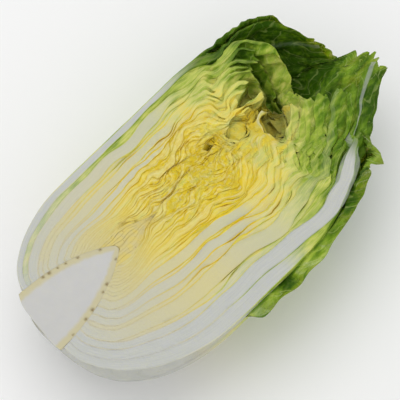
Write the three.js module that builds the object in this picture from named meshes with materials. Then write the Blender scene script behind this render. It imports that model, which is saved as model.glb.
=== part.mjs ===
// A napa cabbage cut in half lengthwise, lying on its rounded back with the cut face up.
// Millimetres. The head is modelled with its axis along +Y (stem end at 0, leaf tips at +Y), the cut face
// in the plane z = 0 and the half below it. The finished group is then moved so that the middle of the
// underside of its box is the origin.
import * as THREE from 'three';

// ---- Driving dimensions ------------------------------------------------------------------------------

const CORE_HEIGHT = 77; // from the stem's cut end to the growing tip
const CORE_RADIUS = 24.5;
const CORE_TAPER = 0.8;
const CORE_CLEARANCE = 0.6;
const CORE_RINGS = [0, 8, 20, 32, 44, 53, 60, 66]; // heights above the cut end
const BUTT_DROP = 5; // how far the stem's cut end stands below y = 0 at its lowest, on the right
const BUTT_SLANT = 4; // how much higher it stands on the left
const BUTT_ROUNDING = 0.92; // its radius as a share of the stem's
const HEART_TIP = 226; // height at which the innermost leaves end
const GAP = 0.4; // least clearance between two pieces
const BLADE = 1.2; // thickness of a leaf away from its rib

// The bud, on the axis: its share of the head's half-width, lengths over which it narrows, and its rings
// (share of a layer's length, share of the bud's own width). Above it a narrow channel stays open.
const BUD_SHARE = 0.14;
const BUD_NARROWS = [0.12, 0.24];
const BUD_RINGS = [[0.05, 0.9], [0.11, 0.9], [0.18, 0.45], [0.24, 0.2]];
const CHANNEL_SHARE = 0.035;

// The outermost layer, in the three directions that shape the head. reach: half-width; butt: where the
// layer leaves the core; rise: where it turns upright; tip: where it ends; roundness: of its lower corner
// (2 is an ellipse); close: how far it leans back over the axis at the tip; late: how late it does so.
const RIGHT = { reach: 98, butt: -1, rise: 105, tip: 307, roundness: 2.25, close: 0.56, late: 2.25 };
const BACK = { reach: 79, butt: -1, rise: 91, tip: 287, roundness: 2.3, close: 0.82, late: 2.8 };
const LEFT = { reach: 60.6, butt: 8, rise: 68, tip: 291, roundness: 1.8, close: 0.88, late: 10 };
const INNERMOST = { roundness: 1.5, close: 0.97, late: 2.2 }; // what these become towards the axis
const OUTER_LAYERS = [0.15, 0.8]; // shares between which close and late change
const FLAT_TO = 0.22; // share of the upright stretch that stays at full width
const TURN_ABOVE = 26; // least height of the turn above the place where the layer leaves the core
const START_BEND = 1.15; // how the layers' starts are spread along the core (1 is evenly)
const TIP_BEND = 1.8; // how the layers' tips rise from the axis outwards (1 is evenly)
const ROUNDED_LENGTH = 1.12; // length of the lower corner over its straight line
// Degrees by which the head reaches past a half turn: on the right near the stem, in the middle and at the
// tips, and on the left below and in the crown, with the shares of the length between which they change.
const RIGHT_OVER = { low: 24, middle: 8, tip: 54, starts: [0, 0.08], falls: [0.1, 0.45], rises: [0.68, 1] };
const LEFT_OVER = { low: 5, tip: -30, changes: [0.7, 0.9] };
const RIGHT_SIDE = [125, 25]; // degrees between which the back's heights become the right side's
const LEFT_SIDE = [90, 170]; // the same for the left side
// In the crown the right side's blades lean forwards: to which share of their depth, between which shares
// of the length, and over which degrees this ends.
const FORWARDS = { depth: 0.5, from: [0.7, 0.92], ends: [140, 105] };
// Room left open in the crown between the wrapper leaves and the others, in millimetres, and where.
const OPEN_CROWN = { room: 20, from: [0.86, 0.94], starts: [40, 90], ends: [125, 160], kept: 0.25 };

// Leaves from the outside in. azimuth: where the midrib is, in degrees round the head (0 right, 90 back,
// 180 left, outside 0..180 in the half that was cut away); tip: the leaf's end, as a share of its layer's
// length; spread: half of the blade's width in degrees.
const OUTER_LEAVES = [
  { name: 'wrapper_leaf_1', azimuth: 112, tip: 0.985, spread: 108, rib: 8.5, ribEnds: [0.5, 0.95] },
  { name: 'wrapper_leaf_2', azimuth: 6, tip: 0.71, spread: 96, rib: 6.8, ribEnds: [0.62, 1.04] },
  { name: 'wrapper_leaf_3', azimuth: 162, tip: 0.99, spread: 96, rib: 5.6, ribEnds: [0.5, 0.95] },
  { name: 'wrapper_leaf_4', azimuth: 4, tip: 1, spread: 163, rib: 6, ribEnds: [0.5, 0.95], drawnIn: 0.1 },
];
const HEAD_LEAF_COUNT = 18;
const HEART_LEAF_COUNT = 22;
const FIRST_AZIMUTH = 118; // midrib of the first head leaf
const LEAF_TURN = 137.5; // degrees from one leaf to the next round the stem
const CUT_AWAY = [225, 315]; // leaves with their midrib between these are in the other half
const HEAD_TIP = [0.9, 0.87]; // tips of the outermost and innermost head leaf
const HEAD_TIP_RIGHT = { more: 0.08, azimuths: [60, 20] }; // how much longer they are near these azimuths
const HEAD_TIP_LEFT = { more: 0.03, azimuths: [120, 165] };
const HEART_TIP_SHARE = [0.94, 0.7]; // the same for the heart leaves
const HEAD_RIB = [8, 4.5];
const HEART_RIB = [2.4, 0.8];
const HEAD_SPREAD = 98;
const RIB_ENDS = [0.5, 0.85]; // shares of a leaf's length between which its rib thins
const RIB_THINNING = 0.85;
const RIB_HALF_WIDTH = { stem: 46, tip: 14, bend: 0.8 }; // in degrees, and how it narrows
const RIB_EDGE = 2.5; // how steeply a rib falls to the blade
const SHEATH = { share: 0.55, widens: 0.42 }; // a leaf's width at the stem, and where it's at full width
const TIP_ROUNDING = { from: 0.74, most: 1.3, bend: 2.2, least: 0.1 };
const DRAWN_IN = 0.55; // how much narrower than its sheath a leaf is at the tip
// Two leaves stand up behind the cut face, over the ends of the others.
const CROWN_LEAVES = {
  head_leaf_1: { azimuth: 134, tip: 0.97, spread: 90, blade: 2.4 },
  head_leaf_4: { azimuth: 78, tip: 0.87 },
};
const REST_DEPTH = 74.2; // depth of the flat that the half rests on, below the cut face

// The first wrapper leaf: how far its left margin stays in below the crown and its right margin draws back
// at the tip, in degrees, and how far its free right margin stands off.
const LEFT_MARGIN_IN = { degrees: 66, until: [0.88, 0.62] };
const RIGHT_MARGIN_BACK = { degrees: 42, from: [0.81, 0.9] };
const MARGIN_FLARE = { distance: 9, from: 0.4, length: 0.5 };
// The fourth wrapper leaf's tip runs out in a fan at the back of the crown, and stays low to the left of it.
const FAN = { share: 0.06, azimuth: 106, width: 25, low: 0.044, ends: [128, 150] };

// The net that all leaves share, so that their facets nest: shares of a layer's length, and degrees.
const ROWS = [0, 0.05, 0.11, 0.18, 0.26, 0.36, 0.5, 0.64, 0.75, 0.84, 0.91, 0.96, 1, 1.06];
const COLUMNS = [0, 20, 40, 60, 75, 105, 120, 140, 160, 180];
const PLACE_MARGIN = 12; // degrees past its margin over which a leaf still holds its place in the stack
const SNAP = 1.5; // degrees within which a margin runs through a crossing of the net
const SNAP_ROW = 0.006; // the same for a tip, as a share of a layer's length

// ---- The family of layers ----------------------------------------------------------------------------

const radians = THREE.MathUtils.degToRad;
const clamp = THREE.MathUtils.clamp;
const mix = THREE.MathUtils.lerp;

// 0 at the first limit and beyond, 1 at the second and beyond, and smooth between.
function smooth([from, to], value) {
  const share = clamp((value - from) / (to - from), 0, 1);
  return share * share * (3 - 2 * share);
}

function coreRadius(y) {
  const share = clamp(y / CORE_HEIGHT, 0, 1);
  return CORE_RADIUS * Math.pow(1 - share * share, CORE_TAPER);
}

// Distance from the axis and height of layer q (1 the outermost, 0 the axis) at share u of its length.
function layerCurve(q, u, side) {
  const y0 = side.butt + (CORE_HEIGHT - side.butt) * Math.pow(Math.max(1 - q, 0), START_BEND);
  const r0 = coreRadius(y0);
  const reach = side.reach * q;
  const turn = y0 + TURN_ABOVE + (side.rise - TURN_ABOVE) * q;
  const tip = HEART_TIP + (side.tip - HEART_TIP) * Math.pow(q, TIP_BEND);
  const roundness = mix(INNERMOST.roundness, side.roundness, q);
  const close = mix(INNERMOST.close, side.close, smooth(OUTER_LAYERS, q));
  const late = mix(INNERMOST.late, side.late, smooth(OUTER_LAYERS, q));
  const lowLength = Math.hypot(Math.max(reach - r0, 0), turn - y0) * ROUNDED_LENGTH;
  const split = lowLength / (lowLength + tip - turn);
  if (u <= split) {
    const angle = (u / split) * Math.PI / 2;
    return {
      r: r0 + (reach - r0) * Math.pow(Math.sin(angle), 2 / roundness),
      y: turn - (turn - y0) * Math.pow(Math.max(Math.cos(angle), 0), 2 / roundness),
    };
  }
  const up = (u - split) / (1 - split);
  const lean = clamp(up - FLAT_TO, 0, 1 - FLAT_TO) / (1 - FLAT_TO);
  return { r: reach * (1 - close * Math.pow(lean, late)), y: mix(turn, tip, up) };
}

function rightOver(u) {
  const low = mix(RIGHT_OVER.low, RIGHT_OVER.middle, smooth(RIGHT_OVER.falls, u));
  return radians(mix(low * smooth(RIGHT_OVER.starts, u), RIGHT_OVER.tip, smooth(RIGHT_OVER.rises, u)));
}

function layerPoint(q, u, degrees) {
  const right = layerCurve(q, u, RIGHT);
  const back = layerCurve(q, u, BACK);
  const left = layerCurve(q, u, LEFT);
  const overRight = rightOver(u);
  const overLeft = radians(mix(LEFT_OVER.low, LEFT_OVER.tip, smooth(LEFT_OVER.changes, u)));
  const share = degrees / 180;
  const turn = -overRight + share * (Math.PI + overRight + overLeft);
  const lift = Math.sin(mix(overRight, overLeft, smooth([0, 1], share)));
  // Where the leaves stop short of a half turn, they still reach the full width at the cut.
  const short = overLeft < 0 ? mix(1, 1 / Math.cos(overLeft), smooth([0.5, 1], share)) : 1;
  const centre = (right.r - left.r) / 2;
  const halfWidth = (right.r + left.r) / 2 * short;
  const towardsRight = (right.y - back.y) * smooth(RIGHT_SIDE, degrees);
  const towardsLeft = (left.y - back.y) * smooth(LEFT_SIDE, degrees);
  const forwards = mix(1, FORWARDS.depth, smooth(FORWARDS.from, u) * smooth(FORWARDS.ends, degrees));
  return new THREE.Vector3(
    centre + halfWidth * Math.cos(turn),
    back.y + towardsRight + towardsLeft,
    Math.min(-back.r * (Math.sin(turn) + lift) / (1 + lift) * forwards, 0),
  );
}

// ---- Leaves ------------------------------------------------------------------------------------------

function headTip(along, azimuth) {
  const right = HEAD_TIP_RIGHT.more * smooth(HEAD_TIP_RIGHT.azimuths, azimuth);
  const left = HEAD_TIP_LEFT.more * smooth(HEAD_TIP_LEFT.azimuths, azimuth);
  return mix(...HEAD_TIP, along) + right + left;
}

function listLeaves() {
  const leaves = [...OUTER_LEAVES];
  const count = HEAD_LEAF_COUNT + HEART_LEAF_COUNT;
  let azimuth = FIRST_AZIMUTH;
  while (leaves.length < OUTER_LEAVES.length + count) {
    const turned = azimuth % 360;
    azimuth += LEAF_TURN;
    if (turned > CUT_AWAY[0] && turned < CUT_AWAY[1]) {
      continue;
    }
    const order = leaves.length - OUTER_LEAVES.length;
    const inHead = order < HEAD_LEAF_COUNT;
    const number = inHead ? order + 1 : order - HEAD_LEAF_COUNT + 1;
    const along = (number - 1) / ((inHead ? HEAD_LEAF_COUNT : HEART_LEAF_COUNT) - 1);
    const name = `${inHead ? 'head' : 'heart'}_leaf_${number}`;
    const middle = turned >= CUT_AWAY[1] ? turned - 360 : turned;
    leaves.push({
      name,
      azimuth: middle,
      tip: inHead ? headTip(along, middle) : mix(...HEART_TIP_SHARE, along),
      spread: HEAD_SPREAD,
      rib: mix(...(inHead ? HEAD_RIB : HEART_RIB), along),
      ...CROWN_LEAVES[name],
    });
  }
  return leaves;
}

// Half of the leaf's width in degrees at share s of the leaf's own length, before and after its tip is
// rounded off.
function sheathHalfWidth(leaf, s) {
  return leaf.spread * mix(SHEATH.share, 1, Math.sin(Math.min(s / SHEATH.widens, 1) * Math.PI / 2));
}

function halfWidthAt(leaf, s) {
  const drawnIn = leaf.drawnIn ?? DRAWN_IN;
  const rounded = clamp((s - TIP_ROUNDING.from) / (1 - TIP_ROUNDING.from), 0, TIP_ROUNDING.most);
  const rounding = 1 - drawnIn * Math.pow(rounded, TIP_ROUNDING.bend);
  return sheathHalfWidth(leaf, s) * Math.max(rounding, TIP_ROUNDING.least);
}

// Degrees by which a place lies inside the leaf's right and left margins, where its half-width is width.
function insideMargins(leaf, s, degrees, width) {
  const first = leaf === OUTER_LEAVES[0];
  const back = first ? RIGHT_MARGIN_BACK.degrees * smooth(RIGHT_MARGIN_BACK.from, s) : 0;
  const leftIn = first ? LEFT_MARGIN_IN.degrees * smooth(LEFT_MARGIN_IN.until, s) : 0;
  const offset = degrees - leaf.azimuth;
  return [width + offset - back, width - offset - leftIn];
}

function thicknessAt(leaf, s, degrees) {
  if (s > 1) {
    return BLADE;
  }
  const blade = leaf.blade ?? BLADE;
  const ribHalf = mix(RIB_HALF_WIDTH.stem, RIB_HALF_WIDTH.tip, Math.pow(s, RIB_HALF_WIDTH.bend));
  const rib = leaf.rib * (1 - RIB_THINNING * smooth(leaf.ribEnds ?? RIB_ENDS, s));
  const near = Math.exp(-Math.pow(Math.abs(degrees - leaf.azimuth) / ribHalf, RIB_EDGE));
  return blade + Math.max(rib - blade, 0) * near;
}

function tipAt(leaf, degrees) {
  if (leaf !== OUTER_LEAVES[3]) {
    return leaf.tip;
  }
  const fromFan = (degrees - FAN.azimuth) / FAN.width;
  return leaf.tip + FAN.share * Math.exp(-fromFan * fromFan) - FAN.low * smooth(FAN.ends, degrees);
}

// A crossing of the net with how far inside a leaf's two margins and its tip it lies.
function netCorner(leaf, row, column) {
  const s = ROWS[row] / leaf.tip;
  const degrees = COLUMNS[column];
  const settle = (value, least) => (Math.abs(value) < least ? 0 : value);
  const margins = insideMargins(leaf, s, degrees, halfWidthAt(leaf, s));
  const limits = [
    ...margins.map((value) => settle(value, SNAP)),
    settle(tipAt(leaf, degrees) - ROWS[row], SNAP_ROW),
  ];
  return { u: ROWS[row], degrees, limits };
}

function between(from, to, share) {
  return {
    u: mix(from.u, to.u, share),
    degrees: mix(from.degrees, to.degrees, share),
    limits: from.limits.map((value, index) => mix(value, to.limits[index], share)),
  };
}

// Keeps the part of an outline that lies inside one of the leaf's limits.
function clipOutline(outline, limit) {
  const kept = [];
  outline.forEach((point, index) => {
    const next = outline[(index + 1) % outline.length];
    const here = point.limits[limit];
    const there = next.limits[limit];
    if (here >= 0) {
      kept.push(point);
    }
    if (here * there < 0) {
      kept.push(between(point, next, here / (here - there)));
    }
  });
  return kept;
}

// The parts of the net's triangles that a leaf covers. Every leaf uses the same triangles, so that two
// leaves that lie on each other have the same facets.
function coveredParts(leaf) {
  const parts = [];
  for (let row = 0; row + 1 < ROWS.length; row += 1) {
    for (let column = 0; column + 1 < COLUMNS.length; column += 1) {
      const first = netCorner(leaf, row, column);
      const last = netCorner(leaf, row + 1, column + 1);
      const halves = [
        [first, netCorner(leaf, row, column + 1), last],
        [first, last, netCorner(leaf, row + 1, column)],
      ];
      for (const half of halves) {
        const outline = [0, 1, 2].reduce(clipOutline, half);
        if (outline.length > 2) {
          parts.push({ outline, row, column });
        }
      }
    }
  }
  return parts;
}

// Marks each crossing of the net where a leaf holds a place in the stack: all corners of the cells it
// reaches into, and those that its sheath would reach without the rounded tip.
function markPresence(leaf) {
  const holds = (row, degrees) => {
    const s = row / leaf.tip;
    const inside = insideMargins(leaf, s, degrees, sheathHalfWidth(leaf, s) + PLACE_MARGIN);
    return inside.every((value) => value > 0);
  };
  const present = ROWS.map((row) => COLUMNS.map((degrees) => holds(row, degrees)));
  for (const part of leaf.parts) {
    for (const row of [part.row, part.row + 1]) {
      present[row][part.column] = true;
      present[row][part.column + 1] = true;
    }
  }
  return present;
}

function openCrown(u, degrees) {
  const nearLeft = mix(1, OPEN_CROWN.kept, smooth(OPEN_CROWN.ends, degrees));
  return OPEN_CROWN.room * smooth(OPEN_CROWN.from, u) * smooth(OPEN_CROWN.starts, degrees) * nearLeft;
}

// At one crossing of the net, shares the depth from the outermost layer to the bud among the leaves that
// are there, each by its thickness, and returns each leaf's outer and inner point.
function stackAt(leaves, row, column) {
  const u = ROWS[row];
  const degrees = COLUMNS[column];
  const thickness = leaves.map((leaf) => (
    leaf.present[row][column] ? thicknessAt(leaf, u / leaf.tip, degrees) : 0
  ));
  const slots = thickness.map((value) => (value > 0 ? value + GAP : 0));
  const open = openCrown(u, degrees);
  const total = slots.reduce((sum, value) => sum + value, open);
  const depth = 1 - Math.max(BUD_SHARE * (1 - smooth(BUD_NARROWS, u)), CHANNEL_SHARE);
  const perSlot = depth / Math.max(total, GAP);
  let q = 1;
  return leaves.map((leaf, index) => {
    const outerQ = index === OUTER_LEAVES.length ? q - open * perSlot : q;
    q = outerQ - slots[index] * perSlot;
    const outer = layerPoint(outerQ, u, degrees);
    const inner = layerPoint(q, u, degrees);
    const room = outer.distanceTo(inner);
    const share = Math.min(1 - GAP / Math.max(room, GAP), thickness[index] / Math.max(room, GAP));
    const margin = (1 - share) / 2;
    return {
      outer: outer.clone().lerp(inner, margin),
      inner: outer.clone().lerp(inner, 1 - margin),
    };
  });
}

function stackLeaves(leaves) {
  return ROWS.map((unused, row) => COLUMNS.map((alsoUnused, column) => stackAt(leaves, row, column)));
}

// The free margin of the first wrapper leaf stands off along the right side.
function addFlare(net) {
  ROWS.forEach((u, row) => {
    const along = clamp((u - MARGIN_FLARE.from) / MARGIN_FLARE.length, 0, 1);
    const distance = MARGIN_FLARE.distance * Math.sqrt(Math.max(Math.sin(along * Math.PI), 0));
    for (const column of [0, 1]) {
      net[row][column][0].outer.x += distance;
      net[row][column][0].inner.x += distance;
    }
  });
}

// The underside is pressed flat where the half rests.
function flattenUnderside(net) {
  for (const points of net.flat()) {
    points[0].outer.z = Math.max(points[0].outer.z, -REST_DEPTH);
  }
}

// A leaf's point at any place of the net, on the facets that its neighbours share.
function pointOnNet(net, index, surface, { u, degrees }) {
  const high = Math.max(ROWS.findIndex((row) => row >= u), 1);
  const right = Math.max(COLUMNS.findIndex((column) => column >= degrees), 1);
  const rowMix = (u - ROWS[high - 1]) / (ROWS[high] - ROWS[high - 1]);
  const columnMix = (degrees - COLUMNS[right - 1]) / (COLUMNS[right] - COLUMNS[right - 1]);
  const corner = (row, column) => net[row][column][index][surface];
  const first = corner(high - 1, right - 1);
  const last = corner(high, right);
  const lowerHalf = columnMix >= rowMix;
  const third = lowerHalf ? corner(high - 1, right) : corner(high, right - 1);
  return first.clone()
    .multiplyScalar(1 - Math.max(rowMix, columnMix))
    .addScaledVector(third, Math.abs(columnMix - rowMix))
    .addScaledVector(last, Math.min(rowMix, columnMix));
}

function leafMesh(leaf, index, net) {
  const places = [];
  const known = new Map();
  const placeIndex = (point) => {
    const key = `${point.u.toFixed(5)} ${point.degrees.toFixed(3)}`;
    if (!known.has(key)) {
      known.set(key, places.length);
      places.push(point);
    }
    return known.get(key);
  };
  const faces = [];
  for (const { outline } of leaf.parts) {
    const corners = [...new Set(outline.map(placeIndex))];
    for (let i = 1; i + 1 < corners.length; i += 1) {
      faces.push([corners[0], corners[i], corners[i + 1]]);
    }
  }
  const count = places.length;
  const points = [];
  for (const surface of ['outer', 'inner']) {
    for (const place of places) {
      points.push(pointOnNet(net, index, surface, place));
    }
  }
  const triangles = [];
  const edges = new Set(faces.flatMap(([a, b, c]) => [`${a} ${b}`, `${b} ${c}`, `${c} ${a}`]));
  for (const [a, b, c] of faces) {
    triangles.push([a, b, c], [a + count, c + count, b + count]);
    for (const [from, to] of [[a, b], [b, c], [c, a]]) {
      if (!edges.has(`${to} ${from}`)) {
        triangles.push([from, to + count, to], [from, from + count, to + count]);
      }
    }
  }
  return { points, triangles };
}

// ---- Core and bud ------------------------------------------------------------------------------------

// A closed half body from rings that each run round the back from the right to the left of the cut face.
function halfBody(rings) {
  const width = COLUMNS.length;
  const points = rings.flat();
  const triangles = [];
  for (let i = 0; i + 1 < rings.length; i += 1) {
    const low = i * width;
    const high = low + width;
    for (let j = 0; j < width; j += 1) {
      const next = (j + 1) % width;
      triangles.push([low + j, high + next, high + j], [low + j, low + next, high + next]);
    }
  }
  const top = (rings.length - 1) * width;
  for (let j = 1; j + 1 < width; j += 1) {
    triangles.push([0, j + 1, j], [top, top + j, top + j + 1]);
  }
  return { points, triangles };
}

// The stem, with its old cut end aslant at the butt.
function coreBody() {
  const ring = (radius, height) => COLUMNS.map((degrees) => {
    const x = radius * Math.cos(radians(degrees));
    return new THREE.Vector3(x, height(x), -radius * Math.sin(radians(degrees)));
  });
  const buttRadius = (coreRadius(0) - CORE_CLEARANCE) * BUTT_ROUNDING;
  const butt = ring(buttRadius, (x) => -BUTT_DROP + BUTT_SLANT * (1 - x / buttRadius) / 2);
  const shaft = CORE_RINGS.map((y) => ring(coreRadius(y) - CORE_CLEARANCE, () => y));
  return halfBody([butt, ...shaft]);
}

function budBody() {
  return halfBody(BUD_RINGS.map(([u, share]) => (
    COLUMNS.map((degrees) => layerPoint(BUD_SHARE * share, u, degrees))
  )));
}

// ---- Meshes ------------------------------------------------------------------------------------------

function toMesh(name, { points, triangles }, color) {
  const geometry = new THREE.BufferGeometry();
  const flat = points.flatMap((point) => point.toArray());
  geometry.setAttribute('position', new THREE.Float32BufferAttribute(flat, 3));
  geometry.setIndex(triangles.flat());
  geometry.computeVertexNormals();
  const material = new THREE.MeshStandardMaterial({ color, roughness: 0.55, metalness: 0 });
  const mesh = new THREE.Mesh(geometry, material);
  mesh.name = name;
  return mesh;
}

const WRAPPER_GREEN = new THREE.Color('#6f9a3c');
const HEAD_GREEN = new THREE.Color('#c3cf96');
const HEART_YELLOW = new THREE.Color('#e2cc5a');
const STEM_WHITE = new THREE.Color('#d9dacb');

function leafColor(name) {
  if (name.startsWith('wrapper')) {
    return WRAPPER_GREEN;
  }
  return name.startsWith('head') ? HEAD_GREEN : HEART_YELLOW;
}

const leaves = listLeaves();
for (const leaf of leaves) {
  leaf.parts = coveredParts(leaf);
  leaf.present = markPresence(leaf);
}
const net = stackLeaves(leaves);
addFlare(net);
flattenUnderside(net);

const head = new THREE.Group();
head.add(toMesh('core', coreBody(), STEM_WHITE));
head.add(toMesh('heart_bud', budBody(), HEART_YELLOW));
leaves.forEach((leaf, index) => {
  head.add(toMesh(leaf.name, leafMesh(leaf, index, net), leafColor(leaf.name)));
});

const box = new THREE.Box3().setFromObject(head);
const middle = box.getCenter(new THREE.Vector3());
head.position.set(-middle.x, -middle.y, -box.min.z);

export default head;
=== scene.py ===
"""Half of a napa cabbage, cut lengthwise, lying on its rounded back with the cut face up."""

import math
from types import SimpleNamespace

import bpy
import numpy as np
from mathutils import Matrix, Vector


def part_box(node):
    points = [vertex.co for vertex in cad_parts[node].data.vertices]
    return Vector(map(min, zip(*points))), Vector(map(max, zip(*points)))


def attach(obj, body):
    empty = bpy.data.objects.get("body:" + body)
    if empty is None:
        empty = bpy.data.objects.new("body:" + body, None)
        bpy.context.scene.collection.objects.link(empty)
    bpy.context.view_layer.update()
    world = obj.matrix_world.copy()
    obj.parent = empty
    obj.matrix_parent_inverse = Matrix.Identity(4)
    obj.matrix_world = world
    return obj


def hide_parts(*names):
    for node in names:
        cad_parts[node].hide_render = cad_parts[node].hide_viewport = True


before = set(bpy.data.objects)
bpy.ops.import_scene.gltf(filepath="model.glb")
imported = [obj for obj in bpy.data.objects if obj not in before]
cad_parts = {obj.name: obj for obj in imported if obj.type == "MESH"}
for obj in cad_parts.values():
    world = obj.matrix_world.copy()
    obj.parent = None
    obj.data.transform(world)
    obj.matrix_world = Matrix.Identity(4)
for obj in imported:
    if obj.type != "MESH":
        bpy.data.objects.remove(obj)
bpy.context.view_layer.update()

# ---- The head's layers, in millimetres: +y from the stem to the leaf tips, z = 0 the cut face ----------

CORE_HEIGHT = 77.0
CORE_RADIUS = 24.5
CORE_TAPER = 0.8
# How far the stem's cut end lies below the zero.
BUTT_DROP = 5.0
# Height of the tips in the middle of the head.
HEART_TIP = 226.0
# Share of the layers, next to the axis, that the bud takes.
HEART_SHARE = 0.14
# The outermost layer on each side: how far out it reaches, the heights of its butt, its widest place and
# its tip, how round it is below, and how far and how late it closes in above.
RIGHT = SimpleNamespace(reach=98, butt=-1, rise=105, tip=307, roundness=2.25, close=0.56, late=2.25)
BACK = SimpleNamespace(reach=79, butt=-1, rise=91, tip=287, roundness=2.3, close=0.82, late=2.8)
LEFT = SimpleNamespace(reach=60.6, butt=8, rise=68, tip=291, roundness=1.8, close=0.88, late=10)
# Share of a layer's upper part that runs straight before it leans in.
FLAT_TO = 0.22
# How far past a half turn the leaves reach at each side of the cut, in degrees: near the stem, at the
# middle and at the tips on the right, and below and in the crown on the left.
RIGHT_OVER = (24, 8, 54)
LEFT_OVER = (5, -30)
# The head rests here, where its outermost leaf is pressed flat.
REST_DEPTH = 74.2

core_low, core_high = (np.array(corner) * 1000 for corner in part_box("core"))
# Where the head's own zero lies in the frame, in millimetres.
HEAD_ZERO = np.array([(core_low[0] + core_high[0]) / 2, core_low[1] + BUTT_DROP, core_high[2]])


def mix(a, b, share):
    return a + (b - a) * share


def smooth(low, high, value):
    share = np.clip((value - low) / (high - low), 0, 1)
    return share * share * (3 - 2 * share)


def core_radius(y):
    share = np.clip(y / CORE_HEIGHT, 0, 1)
    return CORE_RADIUS * (1 - share * share) ** CORE_TAPER


def layer_curve(q, u, side):
    """Distance from the axis and height of layer q (1 outermost, 0 the axis) at share u of its length."""
    q = np.maximum(q, 1e-4)
    y0 = side.butt + (CORE_HEIGHT - side.butt) * np.maximum(1 - q, 0) ** 1.15
    r0 = core_radius(y0)
    reach = side.reach * q
    turn = y0 + 26 + (side.rise - 26) * q
    tip = HEART_TIP + (side.tip - HEART_TIP) * q ** 1.8
    roundness = mix(1.5, side.roundness, q)
    close = mix(0.97, side.close, smooth(0.15, 0.8, q))
    late = mix(2.2, side.late, smooth(0.15, 0.8, q))
    low_length = np.hypot(np.maximum(reach - r0, 0), turn - y0) * 1.12
    # Below the split the layer is rounded, above it nearly straight.
    split = low_length / (low_length + tip - turn)
    angle = np.clip(u / split, 0, 1) * math.pi / 2
    low_r = r0 + (reach - r0) * np.sin(angle) ** (2 / roundness)
    low_y = turn - (turn - y0) * np.maximum(np.cos(angle), 0) ** (2 / roundness)
    up = np.maximum(u - split, 0) / (1 - split)
    lean = np.clip(up - FLAT_TO, 0, 1 - FLAT_TO) / (1 - FLAT_TO)
    high_r = reach * (1 - close * lean ** late)
    return np.where(u <= split, low_r, high_r), np.where(u <= split, low_y, mix(turn, tip, up))


def layer_height(q, u, degrees):
    """Height of a layer at a place round the head: right at 0 degrees, back at 90, left at 180."""
    right_y, back_y, left_y = (layer_curve(q, u, side)[1] for side in (RIGHT, BACK, LEFT))
    right_side = 1 - smooth(25, 125, degrees)
    left_side = smooth(90, 170, degrees)
    return back_y + (right_y - back_y) * right_side + (left_y - back_y) * left_side


def layer_point(q, u, degrees, steady=None):
    """A place in the head. With a steady q the crown's heights follow that, and its tips aren't ragged."""
    right_r, back_r, left_r = (layer_curve(q, u, side)[0] for side in (RIGHT, BACK, LEFT))
    low_over = mix(RIGHT_OVER[0], RIGHT_OVER[1], smooth(0.1, 0.45, u)) * smooth(0, 0.08, u)
    right_over = np.radians(mix(low_over, RIGHT_OVER[2], smooth(0.68, 1.0, u)))
    left_over = np.radians(mix(*LEFT_OVER, smooth(0.7, 0.9, u)))
    share = degrees / 180
    turn = -right_over + share * (math.pi + right_over + left_over)
    lift = np.sin(mix(right_over, left_over, smooth(0, 1, share)))
    # Where the leaves stop short of a half turn, they still reach the full width at the cut.
    short = mix(1, 1 / np.cos(left_over), (left_over < 0) * smooth(0.5, 1, share))
    centre = (right_r - left_r) / 2
    half_width = (right_r + left_r) / 2 * short
    x = centre + half_width * np.cos(turn)
    y = layer_height(q if steady is None else mix(q, steady, smooth(0.7, 0.85, u)), u, degrees)
    # On the right the crown's blades lean forwards, close behind the cut.
    forwards = mix(1, 0.5, smooth(0.7, 0.92, u) * (1 - smooth(105, 140, degrees)))
    z = -back_r * (np.sin(turn) + lift) / (1 + lift) * forwards
    return np.stack([x, y, np.minimum(z, 0)], axis=-1)


# ---- Leaves --------------------------------------------------------------------------------------------

# Thickness of a leaf away from its rib, and the room left between leaves.
BLADE = 1.2
GAP = 0.4
# Each leaf grows this far round from the one before, and those within the cut away half aren't there.
LEAF_TURN = 137.5
FIRST_AZIMUTH = 118
CUT_AWAY = (225, 315)

# Leaves have their order from the outside, from 0. The first has the loose right margin, the second is
# short and the fourth has the fan.
WRAPPER_COUNT = 4
LOOSE, SHORT, FAN = 0, 1, 3
FIRST_HEAD = 4

# Two leaves stand up behind the cut face, over the ends of the others.
# Their tone is lifted in the crown, as painted light on their blades.
CROWN_LEAVES = {
    "head_leaf_1": {"azimuth": 134, "tip": 0.97, "spread": 90, "blade": 2.4, "paler": 0.2},
    "head_leaf_4": {"azimuth": 78, "tip": 0.87, "paler": 0.2},
}


def set_flesh(leaf):
    """How pale the leaf is near the stem, and where its cut turns from flesh to blade."""
    is_wrapper = leaf.order < WRAPPER_COUNT
    # Millimetres of rib over the blade's thickness, and shares of the leaf's length.
    leaf.fleshy_from = (0.2, 0.9) if leaf.order == FAN else (0.5, 2.4)
    leaf.fleshy_to = (0.75, 0.88) if is_wrapper else (0.6, 0.78)
    leaf.young = 1.15 if is_wrapper else 1
    if leaf.order == FAN:
        leaf.fleshy_to = (0.84, 0.97)
    if leaf.order == FIRST_HEAD:
        leaf.young = 0.6


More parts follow.
